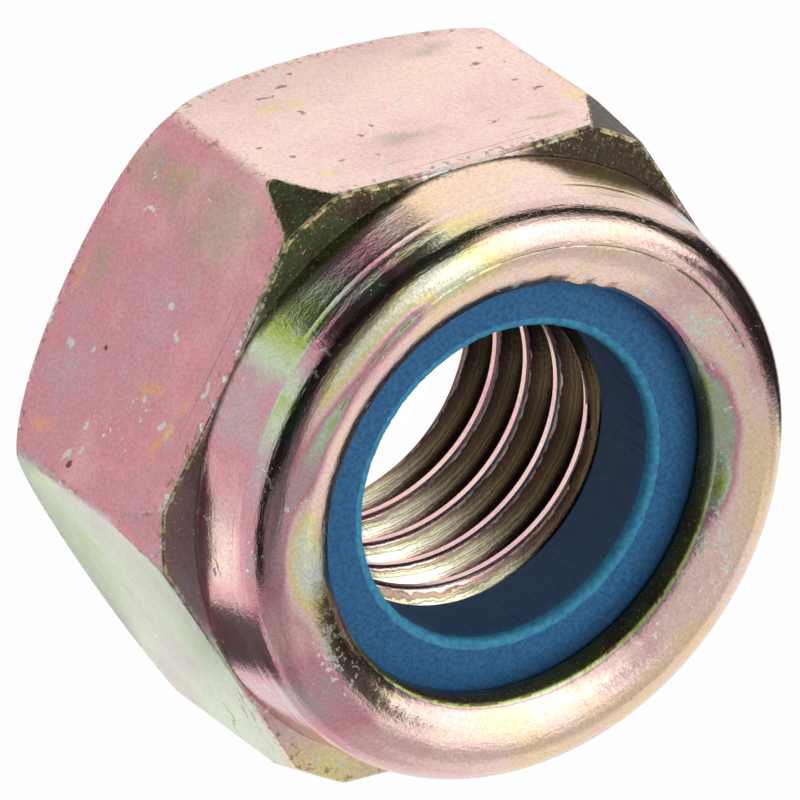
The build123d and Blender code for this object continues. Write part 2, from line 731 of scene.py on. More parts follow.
    def collar_corners(self, spot: partial, bead: float = 0.006) -> list[Corner]:
        """Places the corners of the collar's wall, with its fine turned line, and of its shoulder.

        Args:
            spot: Gives one place on every spoke.
            bead: Height of the turned line's borders.

        Returns:
            The corners, from the collar's foot up.
        """
        sizes = self.sizes
        foot_r, foot_z = sizes.foot
        line_z = foot_z + 0.8 * (sizes.wall_top[1] - foot_z)
        line_r = foot_r - 0.8 * sizes.collar_taper
        corners = [
            Corner(spot(foot_r, foot_z), Zone.WALL, rounding=0.05, rows=9),
            Corner(spot(line_r + bead, line_z - 0.06), Zone.WALL),
            Corner(spot(line_r - 2 * bead, line_z), Zone.WALL),
            Corner(spot(line_r + bead, line_z + 0.06), Zone.WALL, rows=1),
        ]
        steps = 18
        for step in range(steps + 1):
            turn = math.radians(90) * step / steps
            radius = sizes.crest + sizes.shoulder * math.cos(turn)
            height = sizes.height - sizes.shoulder * (1 - math.sin(turn))
            corners.append(Corner(spot(radius, height), Zone.SHOULDER))
        return corners

    def lip_corners(self, angle: np.ndarray) -> list[Corner]:
        """Places the corners of the rolled lip: its crease, its crowned top and its uneven inner edge.

        Args:
            angle: Angle of each spoke in radians.

        Returns:
            The corners, from the collar's highest circle inwards and down.
        """
        sizes = self.sizes
        spot = partial(on_spokes, len(angle))
        uneven = ripple(angle, 9, 3.1) * 0.6 + ripple(angle, 25, 8.7) * 0.4
        folded = ripple(angle, 5, 1.7)
        off = np.degrees(np.abs(turn_from(self.crease_angle, angle)))
        hard = 1 - smooth_step(off, 45, 75)
        crease = 0.004 + (0.045 + 0.02 * folded) * hard
        lip_r = sizes.lip_radius + self.wobble * (1 + uneven) - self.burr(angle)
        outer = spot(sizes.crest - 2 * self.crease_inset, sizes.height - 0.009 - 0.016 * hard)
        inner = spot(lip_r, sizes.lip_edge - 0.02 + 0.02 * folded)
        top = []
        last = 11
        for step in range(last + 1):
            share = 0.82 * step / last
            bulge = 4 * self.lip_bulge * share * (1 - share)
            top.append((1 - share) * outer + share * inner + np.array([-0.45, 0.89]) * bulge)
        foot = spot(lip_r, sizes.lip_edge - 0.02 - self.lip_rounding)
        knee = np.stack([lip_r, (top[-1] + (top[-1] - top[-2]) * 1.5)[:, 1]], axis=1)
        steps = 8
        for step in range(1, steps + 1):
            share = step / steps
            top.append((1 - share) ** 2 * top[last] + 2 * share * (1 - share) * knee + share**2 * foot)
        return [
            Corner(spot(sizes.crest - self.crease_inset, sizes.height - crease), Zone.LIP),
            *[Corner(place, Zone.LIP) for place in top],
            Corner(spot(lip_r + 0.01, sizes.lip_foot + 0.03), Zone.POCKET, rounding=0.04),
        ]

    def burr(self, angle: np.ndarray) -> np.ndarray:
        """Gives how far the small burr stands in from the lip's edge at each angle."""
        off = turn_from(self.burr_angle, angle)
        return 0.09 * np.exp(-((off / 0.05) ** 2)) + 0.05 * np.exp(-(((off + 0.12) / 0.04) ** 2))

    def press(self) -> bpy.types.Object:
        """Spins the round blank, presses it onto the hexagon, row by row, and paints it.

        The blank is the body's outline as it stands at a corner of the hexagon.

        Returns:
            The pressed body, open along the sleeve's two rims.
        """
        body, row, spoke = spin_blank("nut_body_steel", self.section(np.array([0.0])).places[0])
        even = np.arange(SPOKES) * 2 * math.pi / SPOKES
        gather = self.corner_gather / SIDES * np.sin(SIDES * even)
        section = self.section(even - gather)
        loose = self.section(even)
        zones = np.array([zone.value for zone in section.zones])
        pressed = (zones >= Zone.CHAMFER.value) & (zones <= Zone.LEDGE.value)
        share = np.where(pressed, 1.0, 0.0)
        walls = zones == Zone.WALL.value
        share[walls] = np.linspace(1, 0, walls.sum())
        angle = even[spoke] - gather[spoke] * share[row]
        chosen = np.where(pressed[row][:, None], section.places[spoke, row], loose.places[spoke, row])
        gaps = np.where(pressed[row], section.gaps[spoke, row], loose.gaps[spoke, row])
        move_vertices(body, polar(chosen[:, 0], angle, chosen[:, 1]))
        skin = Skin(vertex_places(body), np.array(section.zones)[row], angle)
        self.paint_finish(body, skin, gaps)
        return body

    def paint_finish(self, body: bpy.types.Object, skin: Skin, gaps: np.ndarray) -> None:
        """Paints the film, the polish, the scale and the closeness of worn edges on each vertex.

        Args:
            body: The pressed body.
            skin: Where its vertices lie.
            gaps: Distance of each vertex from the nearest worn edge along its outline.
        """
        pressed = skin.on(Zone.FLAT, Zone.CHAMFER)
        near = np.where(pressed, np.minimum(gaps, skin.beside + 0.1), gaps)
        wall, shoulder, lip = skin.on(Zone.WALL), skin.on(Zone.SHOULDER), skin.on(Zone.LIP)
        cuts = [skin.on(Zone.FLAT), skin.on(Zone.RELIEF), skin.on(Zone.LEDGE)]
        curled = smooth_step(self.sizes.crest - skin.radius, *self.curl)
        chips = round_trip(skin.turn, self.chips) * (1 - 0.7 * curled)
        finish = {
            "film": self.film_on(skin, curled),
            "drift": np.select([pressed, shoulder, lip], [0.24, 0.24, 0.28], 0.40),
            "gap": np.minimum(near, FAR_FROM_EDGES),
            "rough": np.select(cuts, [0.30, 0.36, 0.32], 0.16),
            "scale": self.crust_on(skin),
            "cover": np.select([lip, shoulder, wall], [chips, 0.5, 0.45], 0.34),
            "turned": np.select([wall, shoulder | lip], [0.4, 1.0], 0.0),
            "groove": 0.0,
            "light": 0.0,
        }
        paint(body, finish)

    def film_on(self, skin: Skin, curled: np.ndarray) -> np.ndarray:
        """Gives the film of each vertex.

        Args:
            skin: Where the vertices lie.
            curled: How far the lip's top has turned into its inner edge, from 0 to 1.

        Returns:
            One film for each vertex.
        """
        turn = skin.turn
        lip, pocket = skin.on(Zone.LIP), skin.on(Zone.POCKET)
        shoulder_film_and_highlight = round_trip(turn, self.shoulder_film_and_highlight)
        film = np.select(
            [skin.on(Zone.WALL), skin.on(Zone.SHOULDER), lip, pocket, skin.on(Zone.RELIEF, Zone.LEDGE)],
            [
                round_trip(turn, self.wall_film_and_reflection),
                shoulder_film_and_highlight,
                round_trip(turn, self.lip_film),
                0.5,
                round_trip(turn, self.ledge_film),
            ],
            self.film_between_flats(skin),
        )
        inward = self.sizes.crest - skin.radius
        beyond = smooth_step(inward, 0.05, 0.5)
        blended = shoulder_film_and_highlight * (1 - beyond) + film * beyond
        # Painted shade: the lip's inner edge turns dark over part of the round, with an olive fringe on its
        # upper border.
        inner = round_trip(turn, self.inner_film_and_shade)
        inner = np.where((inward < 1.20) & (inner > 0.8), self.fringe_shade_film, inner)
        film = np.where(lip, blended * (1 - curled) + inner * curled, film)
        film = np.where(pocket & (skin.places[:, 2] > self.sizes.lip_foot), inner, film)
        # Some of these patches are painted highlights on the wall and the shoulder.
        collar = skin.on(Zone.WALL, Zone.SHOULDER, Zone.LIP)
        for patch in self.patches_and_highlights:
            film[collar] = patch.lay(skin.places[collar], film[collar])
        # Painted shade: a dark broken line along the lip's crease.
        off = np.degrees(np.abs(turn_from(self.crease_angle, skin.angle)))
        on_crease = np.abs(self.sizes.crest - self.crease_inset - skin.radius) < 0.012
        creased = on_crease & lip & (off < self.crease_reach)
        broken = ripple(skin.angle[creased], 12, 4.4) + 0.5 * ripple(skin.angle[creased], 40, 6.1)
        film[creased] = np.where(broken > -0.12, self.crease_shade_film, film[creased])
        return film

    def film_between_flats(self, skin: Skin) -> np.ndarray:
        """Gives the film of the flat at each vertex, half mixed with its neighbour's on their edge.

        Args:
            skin: Where the vertices lie.

        Returns:
            One film for each vertex.
        """
        flats = np.array(self.film)
        sector = np.floor(np.mod(skin.angle, 2 * math.pi) / (2 * math.pi / SIDES)).astype(int) % SIDES
        past_middle = np.mod(skin.angle, math.pi / 3) > math.pi / SIDES
        neighbour = np.where(past_middle, sector + 1, sector - 1) % SIDES
        blend = 0.5 * (1 - smooth_step(skin.beside, 0.0, 0.2))
        return flats[sector] * (1 - blend) + flats[neighbour] * blend

    def crust_on(self, skin: Skin) -> np.ndarray:
        """Gives the share of dark crust on each vertex, and of the same dark colour painted as shade on the
        lip's inner edge.

        Args:
            skin: Where the vertices lie.

        Returns:
            One share for each vertex, from 0 to 1.
        """
        turn = skin.turn
        height = skin.places[:, 2]
        breadth = smooth_step(self.reach(skin.angle) - self.sizes.foot[0], 0.12, 0.34)
        climb = round_trip(turn, self.crust_climb)
        above = height - self.sizes.foot[1]
        ledge = round_trip(turn, self.ledge_crust)
        # On the lip's inner edge the dark scale colour is painted shade.
        rolled = skin.on(Zone.LIP) | (skin.on(Zone.POCKET) & (height > self.sizes.lip_foot))
        inner_edge = smooth_step(self.sizes.crest - skin.radius, 1.14, 1.27)
        return np.select(
            [skin.on(Zone.LEDGE), skin.on(Zone.RELIEF), skin.on(Zone.WALL), rolled],
            [
                ledge * breadth,
                round_trip(turn, self.relief_crust) * breadth,
                ledge * (1 - smooth_step(above, climb * 0.5, climb + 0.03)),
                round_trip(turn, self.inner_edge_shade) * inner_edge,
            ],
            0.0,
        )

    def tap_sleeve(self) -> bpy.types.Object:
        """Cuts the thread into a plain sleeve with its countersink and its upper chamfer.

        Returns:
            The sleeve, closed along its outer wall.
        """
        sizes = self.sizes
        mouth = sizes.minor_radius + sizes.countersink
        exit_radius = sizes.minor_radius + sizes.thread_exit
        points = [
            (sizes.sleeve_radius, 0),
            (mouth + 0.05, 0),
            (mouth - 0.05, 0.05),
            (sizes.minor_radius, sizes.countersink),
            (sizes.minor_radius, sizes.seat - sizes.thread_exit),
            (exit_radius, sizes.seat),
            (sizes.sleeve_radius, sizes.seat),
        ]
        sleeve = draw_outline("thread_sleeve", points, closed=True)
        spin_outline(sleeve)
        tap = self.wind_tap()
        bpy.ops.object.select_all(action="DESELECT")
        bpy.context.view_layer.objects.active = sleeve
        sleeve.select_set(True)
        cut = sleeve.modifiers.new("thread", "BOOLEAN")
        cut.operation = "DIFFERENCE"
        cut.solver = "EXACT"
        cut.object = tap
        bpy.ops.object.modifier_apply(modifier=cut.name)
        bpy.data.objects.remove(tap)
        return sleeve

    def wind_tap(self) -> bpy.types.Object:
        """Winds the coil that cuts the thread's groove: 60 degree flanks and a narrow rounded root.

        Returns:
            The coil as a closed mesh.
        """
        sizes = self.sizes
        flank = math.tan(math.radians(30))
        root = sizes.pitch / 16
        inward = 0.35
        start = -2.1
        outer = sizes.minor_radius + sizes.thread_depth
        lip = 0.10
        mouth = root + sizes.thread_depth * flank
        points = [
            (sizes.minor_radius - inward, start - mouth - lip),
            (sizes.minor_radius + 0.004, start - mouth - lip),
            (sizes.minor_radius + lip * 0.8, start - mouth + lip * 0.3),
            (outer - 0.05, start - root - 0.05 * flank),
            (outer, start - root * 0.5),
            (outer, start + root * 0.5),
            (outer - 0.05, start + root + 0.05 * flank),
            (sizes.minor_radius + lip * 0.8, start + mouth - lip * 0.3),
            (sizes.minor_radius + 0.004, start + mouth + lip),
            (sizes.minor_radius - inward, start + mouth + lip),
        ]
        tap = draw_outline("tap", points, closed=True)
        bpy.ops.mesh.edge_face_add()
        spin_outline(tap, steps=180, screw_offset=sizes.pitch, iterations=8, merge_threshold=0.0001)
        return tap

    def join_sleeve(self, body: bpy.types.Object, sleeve: bpy.types.Object) -> bpy.types.Object:
        """Opens the sleeve's outer wall and joins its rims to the body.

        Args:
            body: The pressed body.
            sleeve: The tapped sleeve.

        Returns:
            The joined body as one closed mesh.
        """
        places = vertex_places(sleeve)
        on_wall = np.hypot(places[:, 0], places[:, 1]) > self.sizes.sleeve_radius - 0.002
        bpy.ops.object.mode_set(mode="EDIT")
        bpy.ops.mesh.select_all(action="DESELECT")
        bpy.ops.object.mode_set(mode="OBJECT")
        for face in sleeve.data.polygons:
            face.select = all(on_wall[index] for index in face.vertices) and abs(face.normal.z) < 0.5
        bpy.ops.object.mode_set(mode="EDIT")
        bpy.ops.mesh.select_mode(type="FACE")
        bpy.ops.mesh.delete(type="ONLY_FACE")
        bpy.ops.mesh.select_mode(type="VERT")
        bpy.ops.object.mode_set(mode="OBJECT")
        self.paint_thread(sleeve)
        bpy.ops.object.select_all(action="DESELECT")
        sleeve.select_set(True)
        body.select_set(True)
        bpy.context.view_layer.objects.active = body
        bpy.ops.object.join()
        bpy.ops.object.mode_set(mode="EDIT")
        weld()
        return body

    def paint_thread(self, sleeve: bpy.types.Object, painted_light_angle: float = 115) -> None:
        """Paints the depth of the groove on each vertex, and a painted light on the side of the bore round
        painted_light_angle.

        Args:
            sleeve: The tapped sleeve.
            painted_light_angle: Middle of the bore's painted light side, in degrees round the axis.
        """
        sizes = self.sizes
        places = vertex_places(sleeve)
        height = places[:, 2]
        chamfered = height > sizes.seat - sizes.thread_exit - 0.01
        within = (height > sizes.countersink - 0.4) & ~chamfered
        depth = (np.hypot(places[:, 0], places[:, 1]) - sizes.minor_radius) / sizes.thread_depth
        rise = (height - sizes.seat) / sizes.thread_exit + 1
        off = np.degrees(turn_from(painted_light_angle, np.arctan2(places[:, 1], places[:, 0])))
        finish = {
            "film": 0.44,
            "drift": 0.3,
            "gap": FAR_FROM_EDGES,
            "rough": 0.2,
            "scale": 0.0,
            "cover": 0.0,
            "turned": 0.0,
            "groove": np.select([within, chamfered], [np.clip(depth, 0, 1), 0.25 + 0.4 * rise], 0.0),
            # Painted light: the bore is painted lighter on the side round painted_light_angle.
            "light": 1 - smooth_step(np.abs(off), 25, 85),
        }
        paint(sleeve, finish)


# Nylon ring


@dataclass
class NylonRing:
    """The nylon ring, with the uneven rim that its cutting left.

    Attributes:
        sizes: Sizes of the nut.
        rim_wave: Unevenness of the inner rim.
        dish: How much lower the ring lies beside the lip than at its inner rim.
        shade_angle: Middle of the painted shade beside the lip, where the lip would shade the ring, in
            degrees round the axis.
    """

    sizes: NutSizes
    rim_wave: float = 0.035
    dish: float = 0.07
    shade_angle: float = 205

    def build(self) -> bpy.types.Object:
        """Models the ring.

        Returns:
            The finished mesh object, in metres.
        """
        sizes = self.sizes
        ring, row, spoke = spin_blank("nylon_ring", self.section(np.array([0.0])).places[0])
        angle = np.arange(SPOKES) * 2 * math.pi / SPOKES
        section = self.section(angle)
        radius, height = section.places[spoke, row].T
        move_vertices(ring, polar(radius, angle[spoke], height))
        # Painted shade: the ring is painted navy beside the lip round shade_angle, where the lip would shade
        # it, and down in its bore.
        off = np.degrees(np.abs(turn_from(self.shade_angle, angle[spoke])))
        beside = smooth_step(radius, sizes.lip_radius - 0.75, sizes.lip_radius + 0.1)
        beside = beside * (1 - smooth_step(off, 40, 110))
        bore_shade = 1 - smooth_step(height, sizes.lip_foot - 0.6, sizes.lip_foot - 0.1)
        in_bore = radius < sizes.minor_radius + sizes.ring_allowance + 0.05
        finish = {
            # The rim's pale band is partly a painted glow of the translucent edge.
            "rim": np.exp(-section.gaps[spoke, row] / 0.12),
            "lip_and_bore_shade": np.maximum(0.45 * beside, 0.62 * np.where(in_bore, bore_shade, 0.0)),
        }
        paint(ring, finish)
        bpy.ops.object.shade_smooth_by_angle(angle=math.radians(50))
        settle(ring)
        return ring

    def section(self, angle: np.ndarray) -> Section:
        """Lays the ring's outline on every spoke, starting and ending at its foot.

        Args:
            angle: Angle of each spoke in radians.

        Returns:
            The outline's rows.
        """
        sizes = self.sizes
        spot = partial(on_spokes, len(angle))
        top = sizes.lip_foot - sizes.ring_clearance
        inner = sizes.minor_radius + sizes.ring_allowance
        outer = sizes.pocket_radius - sizes.ring_clearance
        wave = self.rim_wave * (0.5 * ripple(angle, 14, 5.3) + 0.5 * ripple(angle, 45, 2.2))
        corners = [
            Corner(spot(outer, sizes.seat), rows=1),
            Corner(spot(outer, sizes.lip_root - sizes.ring_clearance), rows=1),
            Corner(spot(sizes.lip_radius + 0.12, top - self.dish), rows=12),
            Corner(spot(inner + wave, top - 0.02), rounding=0.24, rows=10, edge=True),
            Corner(spot(inner, sizes.seat), rounding=0.1, rows=6),
            Corner(spot(outer, sizes.seat)),
        ]
        return lay_section(corners)


# Node graphs


class Graph:
    """Adds nodes to one tree and links them."""

    def __init__(self, tree: bpy.types.NodeTree) -> None:
        """Starts from an empty tree."""
        self.tree = tree
        tree.nodes.clear()

    def node(self, kind: str, inputs: dict | None = None, **settings: object) -> bpy.types.Node:
        """Adds one node.

        Args:
            kind: Type name of the node.
            inputs: Values or sockets for its inputs, by name or index.
            **settings: Attributes of the node itself.

        Returns:
            The new node.
        """
        node = self.tree.nodes.new(kind)
        for name, value in settings.items():
            setattr(node, name, value)
        for name, value in (inputs or {}).items():
            self.feed(node.inputs[name], value)
        return node

    def feed(self, socket: bpy.types.NodeSocket, source: object) -> None:
        """Links a socket into an input, or sets the input's value."""
        if isinstance(source, bpy.types.NodeSocket):
            self.tree.links.new(source, socket)
        else:
            socket.default_value = source

    def math(self, operation: str, *terms: object, clamp: bool = False) -> bpy.types.NodeSocket:
        """Adds a Math node and returns its value."""
        inputs = dict(enumerate(terms))
        return self.node("ShaderNodeMath", inputs, operation=operation, use_clamp=clamp).outputs[0]

    def plus(self, first: object, second: object) -> bpy.types.NodeSocket:
        """Adds two values."""
        return self.math("ADD", first, second)

    def minus(self, first: object, second: object) -> bpy.types.NodeSocket:
        """Takes the second value from the first."""
        return self.math("SUBTRACT", first, second)

    def times(self, first: object, second: object) -> bpy.types.NodeSocket:
        """Multiplies two values."""
        return self.math("MULTIPLY", first, second)

    def vector(self, operation: str, *terms: object) -> bpy.types.NodeSocket:
        """Adds a Vector Math node and returns its result."""
        node = self.node("ShaderNodeVectorMath", dict(enumerate(terms)), operation=operation)
        return node.outputs["Value" if operation == "LENGTH" else "Vector"]

    def mix(self, share: object, first: object, second: object, blend: str = "MIX") -> bpy.types.NodeSocket:
        """Mixes two colours and returns the result."""
        node = self.node("ShaderNodeMix", data_type="RGBA", blend_type=blend, clamp_factor=True)
        self.feed(node.inputs[0], share)
        self.feed(node.inputs[6], first)
        self.feed(node.inputs[7], second)
        return node.outputs[2]

    def noise(
        self, place: object, scale: float, detail: float = 2, roughness: float = 0.5
    ) -> bpy.types.NodeSocket:
        """Adds a noise of about one bump in each 1/scale millimetre and returns its value."""
        inputs = {"Vector": place, "Scale": scale, "Detail": detail, "Roughness": roughness}
        return self.node("ShaderNodeTexNoise", inputs).outputs["Fac"]

    def step(self, value: object, low: object, high: object) -> bpy.types.NodeSocket:
        """Rises smoothly from 0 at low to 1 at high."""
        inputs = {"Value": value, "From Min": low, "From Max": high}
        return self.node("ShaderNodeMapRange", inputs, interpolation_type="SMOOTHSTEP").outputs[0]

    def ramp(self, share: object, stops: tuple[tuple[float, Shade], ...]) -> bpy.types.NodeSocket:
        """Adds a colour ramp with the given stops and returns its colour."""
        node = self.node("ShaderNodeValToRGB", {"Fac": share})
        ramp = node.color_ramp
        while len(ramp.elements) < len(stops):
            ramp.elements.new(0.5)
        for element, (place, colour) in zip(ramp.elements, stops):
            element.position = place
            element.color = (*colour, 1)
        return node.outputs["Color"]

    def group(self, tree: bpy.types.NodeTree, inputs: dict) -> bpy.types.NodeSocket:
        """Adds a shared group and returns its first output."""
        node = self.node("ShaderNodeGroup", node_tree=tree)
        for name, value in inputs.items():
            self.feed(node.inputs[name], value)
        return node.outputs[0]

    def shift(self, place: object, offset: Place, stretch: Place = (1, 1, 1)) -> bpy.types.NodeSocket:
        """Moves and stretches a pattern's place."""
        inputs = {"Vector": place, "Location": offset, "Scale": stretch}
        return self.node("ShaderNodeMapping", inputs).outputs[0]

    def grey(self, value: object) -> bpy.types.NodeSocket:
        """Makes a grey of one value."""
        inputs = {"Red": value, "Green": value, "Blue": value}
        return self.node("ShaderNodeCombineColor", inputs).outputs[0]

    def read(self, name: str) -> bpy.types.NodeSocket:
        """Reads a painted number."""
        node = self.node("ShaderNodeAttribute", attribute_name=name, attribute_type="GEOMETRY")
        return node.outputs["Fac"]

    def place(self) -> bpy.types.NodeSocket:
        """Gives the place on the piece, in millimetres."""
        inputs = {0: self.node("ShaderNodeTexCoord").outputs["Object"], "Scale": 1 / MM}
        return self.node("ShaderNodeVectorMath", inputs, operation="SCALE").outputs[0]

    def bump(self, height: object, depth: float) -> bpy.types.NodeSocket:
        """Turns heights into a normal, where a height of 1 stands for the depth in metres."""
        inputs = {"Height": height, "Strength": 1, "Distance": depth}
        return self.node("ShaderNodeBump", inputs).outputs[0]


def new_material(name: str) -> tuple[bpy.types.Material, Graph]:
    """Starts a material with an empty graph."""
    material = bpy.data.materials.new(name)
    material.use_nodes = True
    return material, Graph(material.node_tree)


def new_group(
    name: str, inputs: dict[str, object], output: str, kind: str
) -> tuple[Graph, dict[str, bpy.types.NodeSocket], bpy.types.NodeSocket]:
    """Starts a shared node group.

    Args:
        name: Name of the group.
        inputs: Default of each input by name: a number, a colour, or None for a vector.
        output: Name of the output.
        kind: Kind of the output, Float or Color.

    Returns:
        The graph, the sockets of the group's inputs by name, and the socket of its output.
    """
    tree = bpy.data.node_groups.new(name, "ShaderNodeTree")
    graph = Graph(tree)
    for label, default in inputs.items():
        sort = "Color" if isinstance(default, tuple) else "Float"
        sort = "Vector" if default is None else sort
        socket = tree.interface.new_socket(name=label, in_out="INPUT", socket_type="NodeSocket" + sort)
        if default is not None:
            socket.default_value = default
    tree.interface.new_socket(name=output, in_out="OUTPUT", socket_type="NodeSocket" + kind)
    entry = graph.node("NodeGroupInput")
    leave = graph.node("NodeGroupOutput")
    sockets = {socket.name: socket for socket in entry.outputs if socket.name}
    return graph, sockets, leave.inputs[output]


# Colours that the passivation film takes as it thickens, from bare zinc to brown
FILM_COLOURS = (
    (0.00, (0.80, 0.82, 0.80)),
    (0.10, (0.90, 0.88, 0.60)),
    (0.18, (0.93, 0.80, 0.38)),
    (0.28, (0.97, 0.72, 0.48)),
    (0.38, (0.96, 0.70, 0.63)),
    (0.48, (0.84, 0.50, 0.50)),
    (0.55, (0.71, 0.32, 0.36)),
    (0.63, (0.58, 0.42, 0.44)),
    (0.72, (0.60, 0.69, 0.50)),
    (0.80, (0.45, 0.56, 0.15)),
    (0.90, (0.20, 0.17, 0.06)),
    (1.00, (0.08, 0.05, 0.03)),
)


def build_film_group() -> bpy.types.NodeTree:
    """Builds the group that turns a film thickness into its drifting colour.

    Returns:
        The node group, with inputs Place, Lathe, Film, Drift and Turned, and output Colour.
    """
    inputs = {"Place": None, "Lathe": None, "Film": 0.4, "Drift": 0.1, "Turned": 0.0}
    graph, entry, leave = new_group("passivation_film", inputs, "Colour", "Color")
    broad = graph.noise(graph.shift(entry["Place"], (11, 3, 7)), 0.28, 3, 0.55)
    fine = graph.noise(graph.shift(entry["Place"], (2, 9, 4)), 1.3, 4, 0.6)
    streak = graph.noise(entry["Lathe"], 1.0, 4, 0.65)
    detail = graph.math("MULTIPLY_ADD", entry["Turned"], graph.minus(streak, fine), fine)
    depth = graph.math("MULTIPLY_ADD", entry["Turned"], 0.4, 0.35)
    drifting = graph.minus(broad, 0.5)
    sway = graph.math("MULTIPLY_ADD", graph.minus(detail, 0.5), depth, drifting)
    shifted = graph.plus(entry["Film"], graph.times(sway, entry["Drift"]))
    graph.feed(leave, graph.ramp(shifted, FILM_COLOURS))
    return graph.tree


def build_wear_group() -> bpy.types.NodeTree:
    """Builds the group that breaks up the wear along an edge.

    Returns:
        The node group, with inputs Place, Gap and Width, and output Mask.
    """
    inputs = {"Place": None, "Gap": 1, "Width": 0.1}
    graph, entry, leave = new_group("edge_wear", inputs, "Mask", "Float")
    ragged = graph.noise(entry["Place"], 5, 4, 0.65)
    patchy = graph.noise(graph.shift(entry["Place"], (5, 1, 2)), 0.6, 2, 0.5)
    lift = graph.plus(ragged, graph.times(patchy, 0.9))
    fade = graph.times(graph.math("DIVIDE", entry["Gap"], entry["Width"]), 0.16)
    graph.feed(leave, graph.step(graph.minus(lift, fade), 1.05, 1.08))
    return graph.tree


def build_chip_group() -> bpy.types.NodeTree:
    """Builds the group that scatters small chips of bare zinc in patches.

    Returns:
        The node group, with inputs Place and Cover, and output Mask.
    """
    graph, entry, leave = new_group("zinc_chips", {"Place": None, "Cover": 0.5}, "Mask", "Float")
    grain = graph.noise(graph.shift(entry["Place"], (8, 8, 1)), 5.5, 3, 0.6)
    patch = graph.noise(graph.shift(entry["Place"], (1, 6, 3)), 0.9, 2, 0.5)
    lift = graph.plus(grain, graph.times(graph.minus(patch, 0.5), 0.7))
    threshold = graph.minus(0.86, graph.times(entry["Cover"], 0.26))
    graph.feed(leave, graph.step(graph.minus(lift, threshold), 0.0, 0.025))
    return graph.tree


def build_scale_group() -> bpy.types.NodeTree:
    """Builds the group of the dark, rough scale on the cut corners.

    Returns:
        The node group, with input Place and output Colour.
    """
    graph, entry, leave = new_group("dark_scale", {"Place": None}, "Colour", "Color")
    broad = graph.noise(graph.shift(entry["Place"], (6, 2, 9)), 0.9, 3, 0.5)
    side = graph.node("ShaderNodeSeparateXYZ", {0: entry["Place"]}).outputs["Y"]
    middle = graph.step(graph.math("ABSOLUTE", side), 4.5, 2.5)
    green = graph.times(graph.step(broad, 0.40, 0.56), middle)
    brown = graph.mix(graph.step(side, 6.2, 6.9), (0.045, 0.027, 0.013, 1), (0.10, 0.068, 0.080, 1))
    base = graph.mix(green, brown, (0.05, 0.075, 0.018, 1))
    fine = graph.noise(graph.shift(entry["Place"], (1, 4, 2)), 9, 4, 0.7)
    mottled = graph.mix(graph.step(fine, 0.5, 0.72), base, (0.16, 0.13, 0.08, 1))
    speck = graph.noise(graph.shift(entry["Place"], (3, 3, 5)), 13, 2, 0.6)
    graph.feed(leave, graph.mix(graph.step(speck, 0.66, 0.72), mottled, (0.70, 0.55, 0.26, 1)))
    return graph.tree


def build_thread_group() -> bpy.types.NodeTree:
    """Builds the group of the thread's colours, which run in streaks along the helix. The grooves are
    painted dark with their depth as shade, and a paler copy of the colours is painted as light on the bore's
    light side.

    Returns:
        The node group, with inputs Place, Groove and Light, and output Colour.
    """
    inputs = {"Place": None, "Groove": 0.5, "Light": 0.0}
    graph, entry, leave = new_group("thread_streaks_and_shade", inputs, "Colour", "Color")
    wander = graph.minus(graph.noise(entry["Place"], 2.2, 3, 0.6), 0.5)
    depth = graph.plus(entry["Groove"], graph.times(wander, 0.16))
    inputs = {"X": graph.times(depth, 14.0), "Y": entry["Light"]}
    lines = graph.node("ShaderNodeCombineXYZ", inputs).outputs[0]
    streak = graph.step(graph.noise(lines, 1.6, 4, 0.7), 0.34, 0.66)
    # Painted shade: the grooves darken with their depth.
    groove_shade_ramp = graph.ramp(
        depth,
        (
            (0.00, (0.88, 0.57, 0.55)),
            (0.06, (0.82, 0.52, 0.48)),
            (0.11, (0.06, 0.035, 0.025)),
            (0.30, (0.13, 0.075, 0.05)),
            (0.50, (0.16, 0.125, 0.06)),
            (0.75, (0.10, 0.055, 0.045)),
            (1.00, (0.05, 0.03, 0.025)),
        ),
    )
    # Painted light: a paler copy of the thread's colours for the bore's light side.
    lit_groove_ramp = graph.ramp(
        depth,
        (
            (0.00, (0.90, 0.62, 0.60)),
            (0.08, (0.86, 0.56, 0.52)),
            (0.14, (0.35, 0.24, 0.17)),
            (0.30, (0.72, 0.74, 0.50)),
            (0.50, (0.78, 0.70, 0.55)),
            (0.70, (0.45, 0.30, 0.24)),
            (1.00, (0.10, 0.06, 0.05)),
        ),
    )
    painted_light_and_shade = graph.mix(entry["Light"], groove_shade_ramp, lit_groove_ramp)
    shade = graph.plus(0.5, graph.times(streak, 1.6))
    graph.feed(leave, graph.mix(1.0, painted_light_and_shade, graph.grey(shade), "MULTIPLY"))
    return graph.tree


class Tint(Enum):
    """Colours of the small marks on the flats and the collar.

    Each tint holds red, green and blue, then the softness of the marks' borders and their cover.
    """

    CLOUD = (0.42, 0.40, 0.28, 1.0, 0.6)
    ORANGE = (0.84, 0.44, 0.18, 0.9, 0.6)
    YELLOW = (0.90, 0.72, 0.26, 1.0, 0.6)
    LINE = (0.26, 0.15, 0.10, 0.9, 0.7)
    OLIVE = (0.26, 0.19, 0.08, 0.5, 0.85)
    PURPLE = (0.20, 0.08, 0.20, 0.6, 0.8)
    LIME = (0.42, 0.44, 0.17, 1.0, 0.6)
    DARK = (0.07, 0.045, 0.03, 0.4, 0.85)
    SILVER = (0.66, 0.70, 0.68, 0.3, 0.85)


